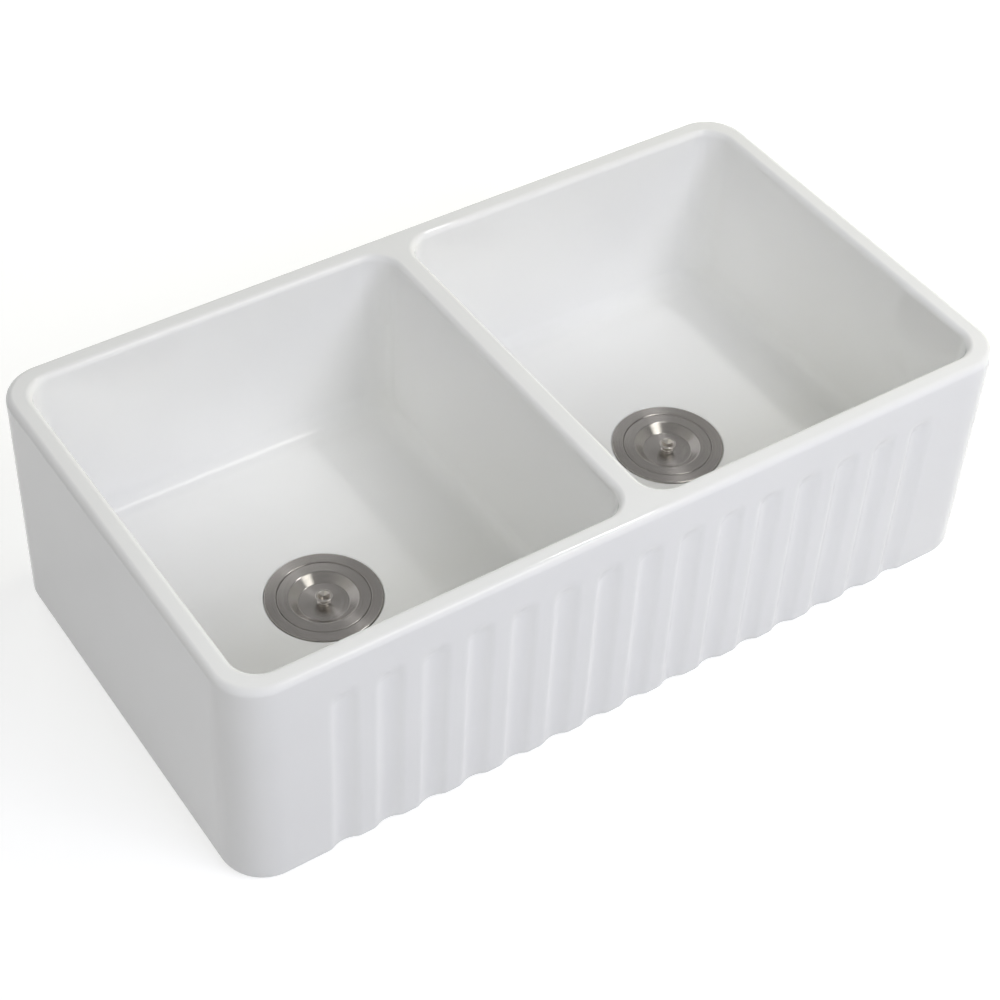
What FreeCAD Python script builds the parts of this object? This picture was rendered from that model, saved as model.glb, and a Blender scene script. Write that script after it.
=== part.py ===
import FreeCAD, Part
import math
import os

# Double-bowl farmhouse sink with a fluted apron front, a drain strainer in each bowl.
# Millimetres, +Z up, front towards -Y, origin at the centre of the foot the sink stands on.

# Outer form of the casting
SINK_LENGTH = 838.2
SINK_DEPTH = 457.2
SINK_HEIGHT = 254.0
OUTER_CORNER_R = 43.0
RIM_OUTER_R = 7.0
FOOT_OUTER_R = 9.0

# Walls, bowls and divider
SIDE_WALL = 22.5
FRONT_WALL = 21.8
BACK_WALL = 21.8
DIVIDER = 25.4
BOWL_DEPTH = 200.0
BOWL_CORNER_R = 26.0
BOWL_FLOOR_R = 20.0
RIM_INNER_R = 6.5
FLOOR_THICKNESS = 22.0
FLOOR_FALL_DEG = 1.0
FLOOR_FALL_MARGIN = 2.0

# Hollow underside: foot ring round each bowl and a web under the divider
FOOT_WIDTH = 23.0
FOOT_WEB = 32.0
POCKET_CORNER_R = 22.0
POCKET_EDGE_R = 2.5

# Flutes of the apron
FLUTE_COUNT = 15
FLUTE_PITCH = 45.2
FLUTE_WIDTH = 27.0
FLUTE_DEPTH = 4.0
FLUTE_EDGE_R = 10.0
FLUTE_TOP_GAP = 35.5

# Drain opening in the casting
DRAIN_HOLE_D = 95.0
REBATE_DEPTH = 3.0
REBATE_CLEARANCE = 0.6

# Strainer body: flange, threaded cup and outlet spigot
FLANGE_OD = 114.3
FLANGE_THICKNESS = 2.0
FLANGE_EDGE_R = 1.0
FLANGE_FALL = 0.2
LEDGE_DEPTH = 3.4
LEDGE_WALL = 1.4
CUP_OD = 86.8
CUP_WALL = 1.6
CUP_DEPTH = 58.0
CUP_BASE_R = 5.0
CUP_TAPER = 1.4
THREAD_LENGTH = 47.0
SHELF_DEPTH = 12.0
SHELF_WIDTH = 1.9
SPIGOT_OD = 47.4
SPIGOT_WALL = 4.4
SPIGOT_LENGTH = 22.0
OUTLET_FALL = 1.6

# Seals and nuts that clamp the strainer
GASKET_THICKNESS = 1.5
GASKET_WIDTH = 7.5
UNDER_WASHER_OD = 112.0
UNDER_WASHER_THICKNESS = 3.0
FRICTION_WASHER_OD = 110.0
FRICTION_WASHER_THICKNESS = 1.2
LOCKNUT_OD = 103.0
LOCKNUT_HEIGHT = 10.0
LOCKNUT_LUGS = 6
LUG_WIDTH = 9.0
LUG_REACH = 3.4
THREAD_FIT = 0.1
WASHER_FIT = 0.4

# Basket
BASKET_RIM_WIDTH = 3.2
BASKET_SHEET = 1.2
BASKET_HEIGHT = 37.0
BASKET_TAPER = 2.6
BASKET_BASE_R = 6.0
BASKET_FIT = 0.5
WALL_SLOTS = 12
WALL_SLOT_WIDTH = 3.0
WALL_SLOT_TOP_GAP = 10.0
WALL_SLOT_HEIGHT = 18.0
BASE_SLOTS = 8
BASE_SLOT_WIDTH = 3.2
BASE_SLOT_START = 10.0
BASE_SLOT_LENGTH = 16.0
HANDLE_WIDTH = 9.0
HANDLE_THICKNESS = 1.6
HANDLE_DROP = 3.0

# Lid with its dish, knob and seal
LID_OD = 90.0
LID_SHEET = 1.2
LID_EDGE_R = 0.5
DISH_OPENING = 67.5
DISH_FLAT = 49.6
DISH_DEPTH = 7.2
DISH_BEND_R = 2.4
KNOB_TOP_OD = 17.0
KNOB_BORE = 10.4
KNOB_NECK_OD = 10.6
KNOB_BASE_OD = 15.0
KNOB_BASE_THICKNESS = 1.3
KNOB_ABOVE_LID = 2.0
KNOB_RING_HEIGHT = 3.4
KNOB_FLOOR = 2.0
STEM_D = 6.0
STEM_FIT = 0.1
RIVET_OD = 10.0
RIVET_THICKNESS = 1.0
SEAL_WIDTH = 2.2
SEAL_THICKNESS = 1.4
SEAL_EDGE_GAP = 0.5

# Tailpiece, its washer and the slip nut
TAIL_OD = 38.1
TAIL_WALL = 1.0
TAIL_NECK_WALL = 1.3
TAIL_NECK_LENGTH = 8.0
TAIL_LENGTH = 101.6
TAIL_FLANGE_OD = 46.4
TAIL_FLANGE_THICKNESS = 1.5
TAIL_WASHER_THICKNESS = 2.0
SLIP_NUT_OD = 60.0
SLIP_NUT_HEIGHT = 23.0
SLIP_NUT_LIP = 2.6
SLIP_NUT_RIBS = 8
RIB_WIDTH = 6.0
RIB_REACH = 2.2

# Gap between pieces that lift apart
RUNNING_GAP = 0.3
# How far cutting tools run past a face
OVERCUT = 5.0
# How far apart two levels may be and still count as one
LEVEL = 1e-3

UP = FreeCAD.Vector(0, 0, 1)
ORIGIN = FreeCAD.Vector(0, 0, 0)

# Levels that several pieces share
FLOOR_Z = SINK_HEIGHT - BOWL_DEPTH
UNDERSIDE_Z = FLOOR_Z - FLOOR_THICKNESS
REBATE_Z = FLOOR_Z - REBATE_DEPTH
FLANGE_BASE_Z = REBATE_Z + GASKET_THICKNESS
FLANGE_TOP_Z = FLANGE_BASE_Z + FLANGE_THICKNESS
LEDGE_Z = FLANGE_TOP_Z - LEDGE_DEPTH
SHELF_Z = FLOOR_Z - SHELF_DEPTH
CUP_BASE_Z = FLOOR_Z - CUP_DEPTH
SPIGOT_END_Z = CUP_BASE_Z - OUTLET_FALL - SPIGOT_LENGTH

# Radii that several pieces share
FLANGE_R = FLANGE_OD / 2
LEDGE_R = LID_OD / 2 + BASKET_FIT
CUP_R = CUP_OD / 2
CUP_BORE_R = CUP_R - CUP_WALL
SHELF_R = CUP_BORE_R - SHELF_WIDTH
SPIGOT_R = SPIGOT_OD / 2
SPIGOT_BORE_R = SPIGOT_R - SPIGOT_WALL
TAIL_R = TAIL_OD / 2
TAIL_BORE_R = TAIL_R - TAIL_WALL
TAIL_NECK_R = TAIL_BORE_R + TAIL_NECK_WALL

# The bowls lie side by side between the side walls and the divider
BOWL_LENGTH = (SINK_LENGTH - DIVIDER) / 2 - SIDE_WALL
BOWL_WIDTH = SINK_DEPTH - FRONT_WALL - BACK_WALL
BOWL_X = (DIVIDER + BOWL_LENGTH) / 2
BOWL_Y = (FRONT_WALL - BACK_WALL) / 2

# The floor falls to the drain from a circle just inside its rounded edges
REBATE_R = FLANGE_R + REBATE_CLEARANCE
FLOOR_FALL_R = BOWL_LENGTH / 2 - BOWL_FLOOR_R - FLOOR_FALL_MARGIN
FLOOR_EDGE_Z = FLOOR_Z + (FLOOR_FALL_R - REBATE_R) * math.tan(math.radians(FLOOR_FALL_DEG))


def vec(x, y, z):
    return FreeCAD.Vector(x, y, z)


def rounded_outline(length, width, radius, centre_x, centre_y, z):
    """Closed wire of a rectangle with rounded corners, level with z."""
    x0 = centre_x - length / 2
    x1 = centre_x + length / 2
    y0 = centre_y - width / 2
    y1 = centre_y + width / 2
    cut = radius * (1 - math.sqrt(0.5))
    line = Part.LineSegment
    arc = Part.Arc
    edges = [
        line(vec(x0 + radius, y0, z), vec(x1 - radius, y0, z)),
        arc(vec(x1 - radius, y0, z), vec(x1 - cut, y0 + cut, z), vec(x1, y0 + radius, z)),
        line(vec(x1, y0 + radius, z), vec(x1, y1 - radius, z)),
        arc(vec(x1, y1 - radius, z), vec(x1 - cut, y1 - cut, z), vec(x1 - radius, y1, z)),
        line(vec(x1 - radius, y1, z), vec(x0 + radius, y1, z)),
        arc(vec(x0 + radius, y1, z), vec(x0 + cut, y1 - cut, z), vec(x0, y1 - radius, z)),
        line(vec(x0, y1 - radius, z), vec(x0, y0 + radius, z)),
        arc(vec(x0, y0 + radius, z), vec(x0 + cut, y0 + cut, z), vec(x0 + radius, y0, z)),
    ]
    return Part.Wire([edge.toShape() for edge in edges])


def rounded_block(length, width, radius, centre_x, centre_y, z0, z1):
    outline = rounded_outline(length, width, radius, centre_x, centre_y, z0)
    return Part.Face(outline).extrude(vec(0, 0, z1 - z0))


def edges_level_with(shape, z):
    """Edges of a shape that lie wholly in the level plane z."""
    found = []
    for edge in shape.Edges:
        box = edge.BoundBox
        if abs(box.ZMin - z) < LEVEL and abs(box.ZMax - z) < LEVEL:
            found.append(edge)
    return found


def revolve_profile(points):
    """Solid turned about the Z axis from a closed (radius, z) profile.

    A point may carry a third value, the radius that rounds that corner.
    """
    corners = [vec(p[0], 0, p[1]) for p in points]
    rounding = [p[2] if len(p) > 2 else 0.0 for p in points]
    count = len(corners)
    starts = []
    ends = []
    mids = []
    for i in range(count):
        here = corners[i]
        before = corners[i - 1]
        after = corners[(i + 1) % count]
        radius = rounding[i]
        if radius <= 0:
            starts.append(here)
            ends.append(here)
            mids.append(None)
            continue
        to_before = (before - here).normalize()
        to_after = (after - here).normalize()
        half = to_before.getAngle(to_after) / 2
        reach = radius / math.tan(half)
        bisector = (to_before + to_after).normalize()
        centre = here + bisector * (radius / math.sin(half))
        starts.append(here + to_before * reach)
        ends.append(here + to_after * reach)
        mids.append(centre - bisector * radius)
    edges = []
    for i in range(count):
        if mids[i] is not None:
            edges.append(Part.Arc(starts[i], mids[i], ends[i]).toShape())
        following = starts[(i + 1) % count]
        if (following - ends[i]).Length > 1e-6:
            edges.append(Part.LineSegment(ends[i], following).toShape())
    return Part.Face(Part.Wire(edges)).revolve(ORIGIN, UP, 360)


def ring(inner_r, outer_r, z0, z1):
    return revolve_profile([(inner_r, z0), (outer_r, z0), (outer_r, z1), (inner_r, z1)])


def around_z(shape, angle):
    turned = shape.copy()
    turned.rotate(ORIGIN, UP, angle)
    return turned


def flute_tool(x):
    """Round groove with a ball end, laid along the apron at x."""
    half = FLUTE_WIDTH / 2
    radius = (half ** 2 + FLUTE_DEPTH ** 2) / (2 * FLUTE_DEPTH)
    y = -SINK_DEPTH / 2 - radius + FLUTE_DEPTH
    top = SINK_HEIGHT - FLUTE_TOP_GAP - half
    groove = Part.makeCylinder(radius, top + OVERCUT, vec(x, y, -OVERCUT))
    ball = Part.makeSphere(radius, vec(x, y, top), UP, -90, 90, 360)
    return groove.fuse(ball)


def is_flute_edge(edge):
    """True for a groove edge on the apron's flat face, above the foot."""
    box = edge.BoundBox
    front = -SINK_DEPTH / 2
    on_face = abs(box.YMin - front) < LEVEL and abs(box.YMax - front) < LEVEL
    inside = box.XMin > -FLUTE_COUNT * FLUTE_PITCH / 2 and box.XMax < FLUTE_COUNT * FLUTE_PITCH / 2
    below_rim = box.ZMax < SINK_HEIGHT - FLUTE_TOP_GAP + OVERCUT
    return on_face and inside and below_rim and box.ZMax > OVERCUT


def outer_form():
    """Outside of the casting: rounded block, fluted apron, soft foot and rim edges."""
    block = rounded_block(SINK_LENGTH, SINK_DEPTH, OUTER_CORNER_R, 0, 0, 0, SINK_HEIGHT)
    first = -(FLUTE_COUNT - 1) / 2 * FLUTE_PITCH
    tools = [flute_tool(first + i * FLUTE_PITCH) for i in range(FLUTE_COUNT)]
    block = block.cut(tools).removeSplitter()
    block = block.makeFillet(FLUTE_EDGE_R, [edge for edge in block.Edges if is_flute_edge(edge)])
    block = block.makeFillet(FOOT_OUTER_R, edges_level_with(block, 0))
    return block.makeFillet(RIM_OUTER_R, edges_level_with(block, SINK_HEIGHT))


def bowl_hollow(side):
    """Space of one bowl: straight walls, floor falling to the drain, round at the bottom."""
    x = side * BOWL_X
    column = rounded_block(
        BOWL_LENGTH, BOWL_WIDTH, BOWL_CORNER_R, x, BOWL_Y, FLOOR_EDGE_Z, SINK_HEIGHT + OVERCUT
    )
    column = column.makeFillet(BOWL_FLOOR_R, edges_level_with(column, FLOOR_EDGE_Z))
    fall = revolve_profile(
        [
            (0, FLOOR_Z),
            (REBATE_R, FLOOR_Z),
            (FLOOR_FALL_R, FLOOR_EDGE_Z),
            (FLOOR_FALL_R, FLOOR_EDGE_Z + OVERCUT),
            (0, FLOOR_EDGE_Z + OVERCUT),
        ]
    )
    fall.translate(vec(x, 0, 0))
    return column.fuse(fall)


def underside_pocket(side):
    """Space under one bowl floor, inside the foot ring."""
    outer = SINK_LENGTH / 2 - FOOT_WIDTH
    inner = FOOT_WEB / 2
    length = outer - inner
    width = SINK_DEPTH - 2 * FOOT_WIDTH
    x = side * (outer + inner) / 2
    pocket = rounded_block(length, width, POCKET_CORNER_R, x, 0, -OVERCUT, UNDERSIDE_Z)
    return pocket.makeFillet(POCKET_EDGE_R, edges_level_with(pocket, UNDERSIDE_Z))


def drain_cut(side):
    x = side * BOWL_X
    hole = Part.makeCylinder(DRAIN_HOLE_D / 2, SINK_HEIGHT, vec(x, 0, 0))
    rebate = Part.makeCylinder(REBATE_R, REBATE_DEPTH + OVERCUT, vec(x, 0, REBATE_Z))
    return hole.fuse(rebate)


def sink_body():
    body = outer_form()
    for side in (-1, 1):
        body = body.cut(bowl_hollow(side))
    inner_rim = []
    for edge in edges_level_with(body, SINK_HEIGHT):
        box = edge.BoundBox
        inside_x = max(abs(box.XMin), abs(box.XMax)) < DIVIDER / 2 + BOWL_LENGTH + LEVEL
        inside_y = max(abs(box.YMin), abs(box.YMax)) < BOWL_WIDTH / 2 + abs(BOWL_Y) + LEVEL
        if inside_x and inside_y:
            inner_rim.append(edge)
    body = body.makeFillet(RIM_INNER_R, inner_rim)
    for side in (-1, 1):
        body = body.cut(underside_pocket(side)).cut(drain_cut(side))
    return body


def strainer_body():
    """Flange, ledge for the lid, threaded cup with a basket shelf, and outlet spigot."""
    ledge_outer = LEDGE_R + LEDGE_WALL
    ledge_base = LEDGE_Z - LEDGE_WALL
    thread_end = FLOOR_Z - THREAD_LENGTH
    foot_r = SHELF_R - CUP_TAPER
    base_in = CUP_BASE_Z - OUTLET_FALL
    return revolve_profile(
        [
            (FLANGE_R, FLANGE_BASE_Z),
            (FLANGE_R, FLANGE_TOP_Z, FLANGE_EDGE_R),
            (LEDGE_R, FLANGE_TOP_Z - FLANGE_FALL, FLANGE_EDGE_R),
            (LEDGE_R, LEDGE_Z),
            (CUP_BORE_R, LEDGE_Z),
            (CUP_BORE_R, SHELF_Z),
            (SHELF_R, SHELF_Z),
            (foot_r, CUP_BASE_Z, CUP_BASE_R),
            (SPIGOT_BORE_R, base_in),
            (SPIGOT_BORE_R, SPIGOT_END_Z),
            (SPIGOT_R, SPIGOT_END_Z),
            (SPIGOT_R, base_in - CUP_WALL),
            (foot_r + CUP_WALL, CUP_BASE_Z - CUP_WALL, CUP_BASE_R),
            (CUP_R, thread_end),
            (CUP_R, ledge_base),
            (ledge_outer, ledge_base),
            (ledge_outer, FLANGE_BASE_Z),
        ]
    )


def flange_gasket():
    outer = FLANGE_R - WASHER_FIT
    return ring(outer - GASKET_WIDTH, outer, REBATE_Z, FLANGE_BASE_Z)


def under_washer():
    top = UNDERSIDE_Z
    return ring(CUP_R + WASHER_FIT, UNDER_WASHER_OD / 2, top - UNDER_WASHER_THICKNESS, top)


def friction_washer():
    top = UNDERSIDE_Z - UNDER_WASHER_THICKNESS
    return ring(CUP_R + WASHER_FIT, FRICTION_WASHER_OD / 2, top - FRICTION_WASHER_THICKNESS, top)


def locknut():
    """Ring nut on the cup's thread, with lugs for the wrench."""
    top = UNDERSIDE_Z - UNDER_WASHER_THICKNESS - FRICTION_WASHER_THICKNESS
    base = top - LOCKNUT_HEIGHT
    nut = ring(CUP_R + THREAD_FIT, LOCKNUT_OD / 2, base, top)
    lug_root = (CUP_R + LOCKNUT_OD / 2) / 2
    lug_end = LOCKNUT_OD / 2 + LUG_REACH
    lug = Part.makeBox(
        lug_end - lug_root, LUG_WIDTH, LOCKNUT_HEIGHT, vec(lug_root, -LUG_WIDTH / 2, base)
    )
    lugs = [around_z(lug, i * 360.0 / LOCKNUT_LUGS) for i in range(LOCKNUT_LUGS)]
    return nut.fuse(lugs).removeSplitter()


def basket_levels():
    rim_base = SHELF_Z + RUNNING_GAP
    return rim_base, rim_base + BASKET_SHEET, rim_base - BASKET_HEIGHT


def basket():
    """Perforated cup hung by its rim from the shelf of the strainer body."""
    rim_base, rim_top, base = basket_levels()
    rim_r = CUP_BORE_R - BASKET_FIT
    wall_r = SHELF_R - BASKET_FIT
    rim_in = rim_r - BASKET_RIM_WIDTH
    foot_r = wall_r - BASKET_TAPER
    foot_in = foot_r - BASKET_SHEET
    shell = revolve_profile(
        [
            (0, base),
            (foot_r, base, BASKET_BASE_R),
            (wall_r, rim_base),
            (rim_r, rim_base),
            (rim_r, rim_top),
            (rim_in, rim_top),
            (foot_in, base + BASKET_SHEET, BASKET_BASE_R - BASKET_SHEET),
            (0, base + BASKET_SHEET),
        ]
    )
    slot_base = rim_top - WALL_SLOT_TOP_GAP - WALL_SLOT_HEIGHT
    slot = Part.makeBox(
        rim_r, WALL_SLOT_WIDTH, WALL_SLOT_HEIGHT, vec(foot_in / 2, -WALL_SLOT_WIDTH / 2, slot_base)
    )
    vent = Part.makeBox(
        BASE_SLOT_LENGTH,
        BASE_SLOT_WIDTH,
        3 * BASKET_SHEET,
        vec(BASE_SLOT_START, -BASE_SLOT_WIDTH / 2, base - BASKET_SHEET),
    )
    cuts = [around_z(slot, (i + 0.5) * 360.0 / WALL_SLOTS) for i in range(WALL_SLOTS)]
    cuts += [around_z(vent, i * 360.0 / BASE_SLOTS) for i in range(BASE_SLOTS)]
    return shell.cut(cuts)


def basket_handle():
    """Flat bar across the basket below its rim, cut to meet the wall."""
    rim_base, rim_top, base = basket_levels()
    top = rim_base - HANDLE_DROP
    wall_top = CUP_BORE_R - BASKET_FIT - BASKET_RIM_WIDTH
    wall_base = SHELF_R - BASKET_FIT - BASKET_TAPER - BASKET_SHEET
    bar = Part.makeBox(
        2 * CUP_R, HANDLE_WIDTH, HANDLE_THICKNESS, vec(-CUP_R, -HANDLE_WIDTH / 2, top - HANDLE_THICKNESS)
    )
    inside = revolve_profile(
        [(0, base + BASKET_SHEET), (wall_base, base + BASKET_SHEET), (wall_top, rim_top), (0, rim_top)]
    )
    return bar.common(inside)


def lid_levels():
    under = LEDGE_Z + RUNNING_GAP + SEAL_THICKNESS
    return under, under + LID_SHEET


def lid():
    """Pressed steel lid with a dish round the knob."""
    under, top = lid_levels()
    dish_top = top - DISH_DEPTH
    outer = LID_OD / 2
    slope = math.atan2(DISH_DEPTH, (DISH_OPENING - DISH_FLAT) / 2)
    back = LID_SHEET * math.tan(slope / 2)
    return revolve_profile(
        [
            (STEM_D / 2 + STEM_FIT, dish_top - LID_SHEET),
            (DISH_FLAT / 2 + back, dish_top - LID_SHEET, DISH_BEND_R),
            (DISH_OPENING / 2 + back, under, DISH_BEND_R - LID_SHEET),
            (outer, under),
            (outer, top, LID_EDGE_R),
            (DISH_OPENING / 2, top, DISH_BEND_R),
            (DISH_FLAT / 2, dish_top, DISH_BEND_R - LID_SHEET),
            (STEM_D / 2 + STEM_FIT, dish_top),
        ]
    )


def knob():
    """Hollow spool riveted through the dish: base, neck and flared ring."""
    under, top = lid_levels()
    seat = top - DISH_DEPTH
    head = top + KNOB_ABOVE_LID
    ring_base = head - KNOB_RING_HEIGHT
    bore = KNOB_BORE / 2
    neck = KNOB_NECK_OD / 2
    neck_bore = STEM_D / 2 + STEM_FIT
    stem = STEM_D / 2
    tail = seat - LID_SHEET
    return revolve_profile(
        [
            (0, tail - RIVET_THICKNESS),
            (RIVET_OD / 2, tail - RIVET_THICKNESS),
            (RIVET_OD / 2, tail),
            (stem, tail),
            (stem, seat),
            (KNOB_BASE_OD / 2, seat),
            (KNOB_BASE_OD / 2, seat + KNOB_BASE_THICKNESS / 2),
            (neck, seat + KNOB_BASE_THICKNESS),
            (neck, ring_base),
            (KNOB_TOP_OD / 2, head - KNOB_RING_HEIGHT / 3),
            (KNOB_TOP_OD / 2, head, KNOB_RING_HEIGHT / 6),
            (bore, head, KNOB_RING_HEIGHT / 6),
            (neck_bore, ring_base),
            (neck_bore, seat + KNOB_FLOOR),
            (0, seat + KNOB_FLOOR),
        ]
    )


def lid_seal():
    under, top = lid_levels()
    outer = LID_OD / 2 - SEAL_EDGE_GAP
    return ring(outer - SEAL_WIDTH, outer, under - SEAL_THICKNESS, under)


def tail_washer():
    base = SPIGOT_END_Z - TAIL_WASHER_THICKNESS
    return ring(SPIGOT_BORE_R + WASHER_FIT, SPIGOT_R - THREAD_FIT, base, SPIGOT_END_Z)


def tailpiece():
    """Flanged tube that carries the waste water down from the strainer."""
    top = SPIGOT_END_Z - TAIL_WASHER_THICKNESS
    flange_base = top - TAIL_FLANGE_THICKNESS
    bore = TAIL_BORE_R
    return revolve_profile(
        [
            (bore, top - TAIL_LENGTH),
            (TAIL_R, top - TAIL_LENGTH),
            (TAIL_R, top - TAIL_NECK_LENGTH),
            (TAIL_NECK_R, top - TAIL_NECK_LENGTH),
            (TAIL_NECK_R, flange_base),
            (TAIL_FLANGE_OD / 2, flange_base),
            (TAIL_FLANGE_OD / 2, top),
            (bore, top),
        ]
    )


def slip_nut():
    """Ribbed nut that draws the tailpiece flange up against the spigot."""
    lip_top = SPIGOT_END_Z - TAIL_WASHER_THICKNESS - TAIL_FLANGE_THICKNESS
    base = lip_top - SLIP_NUT_LIP
    top = base + SLIP_NUT_HEIGHT
    outer = SLIP_NUT_OD / 2
    nut = revolve_profile(
        [
            (TAIL_NECK_R + WASHER_FIT, base),
            (outer, base, SLIP_NUT_LIP / 2),
            (outer, top),
            (SPIGOT_R + THREAD_FIT, top),
            (SPIGOT_R + THREAD_FIT, lip_top),
            (TAIL_NECK_R + WASHER_FIT, lip_top),
        ]
    )
    root = (SPIGOT_R + outer) / 2
    height = SLIP_NUT_HEIGHT - 2 * SLIP_NUT_LIP
    rib = Part.makeBox(
        outer + RIB_REACH - root, RIB_WIDTH, height, vec(root, -RIB_WIDTH / 2, base + SLIP_NUT_LIP)
    )
    ribs = [around_z(rib, i * 360.0 / SLIP_NUT_RIBS) for i in range(SLIP_NUT_RIBS)]
    return nut.fuse(ribs).removeSplitter()


def save(shape, name):
    shape.exportStep("parts/" + name + ".step")


def main():
    os.makedirs("parts", exist_ok=True)
    save(sink_body(), "sink_body")
    drain_pieces = {
        "strainer_body": strainer_body(),
        "flange_gasket": flange_gasket(),
        "under_washer": under_washer(),
        "friction_washer": friction_washer(),
        "locknut": locknut(),
        "basket": basket(),
        "basket_handle": basket_handle(),
        "lid": lid(),
        "lid_knob": knob(),
        "lid_seal": lid_seal(),
        "tail_washer": tail_washer(),
        "tailpiece": tailpiece(),
        "slip_nut": slip_nut(),
    }
    for label, side in (("left", -1), ("right", 1)):
        for name, shape in drain_pieces.items():
            placed = shape.copy()
            placed.translate(vec(side * BOWL_X, 0, 0))
            save(placed, label + "_" + name)


main()
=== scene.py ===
"""Double-bowl farmhouse sink with a fluted apron front and a lidded strainer in each bowl."""

import math

import bmesh
import bpy
import numpy as np
from bpy.props import FloatProperty, FloatVectorProperty, IntProperty, PointerProperty
from mathutils import Matrix, Vector


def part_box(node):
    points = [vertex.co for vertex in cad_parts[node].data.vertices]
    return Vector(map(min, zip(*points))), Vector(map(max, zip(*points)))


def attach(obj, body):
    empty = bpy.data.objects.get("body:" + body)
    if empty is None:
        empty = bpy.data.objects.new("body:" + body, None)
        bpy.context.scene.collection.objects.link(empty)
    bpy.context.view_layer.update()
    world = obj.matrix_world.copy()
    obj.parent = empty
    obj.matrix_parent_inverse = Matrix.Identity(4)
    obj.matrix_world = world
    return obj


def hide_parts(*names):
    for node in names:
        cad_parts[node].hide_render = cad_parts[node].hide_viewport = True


bl_info = {
    "name": "Farmhouse Sink",
    "version": (1, 0, 0),
    "blender": (4, 5, 0),
    "location": "View3D > Sidebar > Sink",
    "description": "Builds a fluted apron front sink with its drain strainers, and a plain stage for it",
    "category": "Add Mesh",
}

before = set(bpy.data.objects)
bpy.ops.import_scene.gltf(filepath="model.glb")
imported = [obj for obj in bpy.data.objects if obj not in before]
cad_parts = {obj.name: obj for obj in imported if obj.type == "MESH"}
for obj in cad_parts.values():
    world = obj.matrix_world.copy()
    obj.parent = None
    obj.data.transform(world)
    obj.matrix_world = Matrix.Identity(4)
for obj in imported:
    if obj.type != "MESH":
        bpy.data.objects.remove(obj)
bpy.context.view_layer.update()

SIDES = ("left", "right")
MM = 0.001
WELD = 2e-6  # points nearer than this are one
SHARP_TURNED = 35.0  # degrees between faces past which an edge stays sharp
SHARP_COPIED = 30.0
LID_SHEET = 1.2  # mm
STEM = 3.1  # mm, radius of the lid's middle hole and of the knob's bore below its funnel
HORIZON = 0.15  # height in the sky up to which gloss sees plain white
OVERHEAD = 0.6  # height in the sky from which gloss sees the ceiling
HAZE_START = 0.7  # distances from the sink between which the floor goes white
HAZE_END = 2.2
FLOOR_DROP = 0.0002  # keeps the floor just clear of the foot
SENSOR = 36.0  # mm, width of the camera's sensor
FAR = 50.0  # m, how far the camera sees

# Points along each stretch of the casting's outline and of its rounded edges
FLUTE_STEPS = 20  # a pitch
PLAIN_STEPS = 8
SIDE_STEPS = 31
BACK_STEPS = 61
CORNER_STEPS = 15
RIM_STEPS = 10
FLOOR_STEPS = 14
EDGE_STEPS = 5
FLUTE_TOP_STEPS = 24

# Where the casting's plain stretches have a row of points
WALL_DROPS = (0.003, 0.012, 0.05, 0.1, 0.14)  # below the rim's rounding
WALL_RISES = (0.012, 0.003)  # above the floor's rounding
FLOOR_EDGE_SHARES = (0.1, 0.5, 1.0)  # of the way from the rounding to the slope
FLOOR_SHARES = (0.04, 0.3, 0.6, 0.9, 0.98, 1.0)  # of the way down the slope to the rebate
UNDER_SHARES = (0.1, 0.5, 0.9, 1.0)  # of the way from the drain hole to the hollow's wall
FOOT_RISE = 0.001
SKIN_HEIGHTS = (0.03, 0.08, 0.13, 0.17)  # up the apron
SKIN_MARGINS = (0.002, 0.006, 0.012, 0.003)  # above the foot, round the flutes' tops, over them, below the rim

KNOB_STEPS = 72  # round each knob
WASHER_STEPS = 96  # round each washer


def node_centre_x(node):
    low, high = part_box(node)
    return (low[0] + high[0]) / 2


def node_top(node):
    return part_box(node)[1][2]


def length_property(name, description, default, **extra):
    return FloatProperty(
        name=name, description=description, default=default, min=0.0, subtype="DISTANCE", unit="LENGTH", **extra
    )


def colour_property(name, description, default):
    return FloatVectorProperty(
        name=name, description=description, default=default, size=3, min=0.0, max=1.0, subtype="COLOR"
    )


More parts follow.
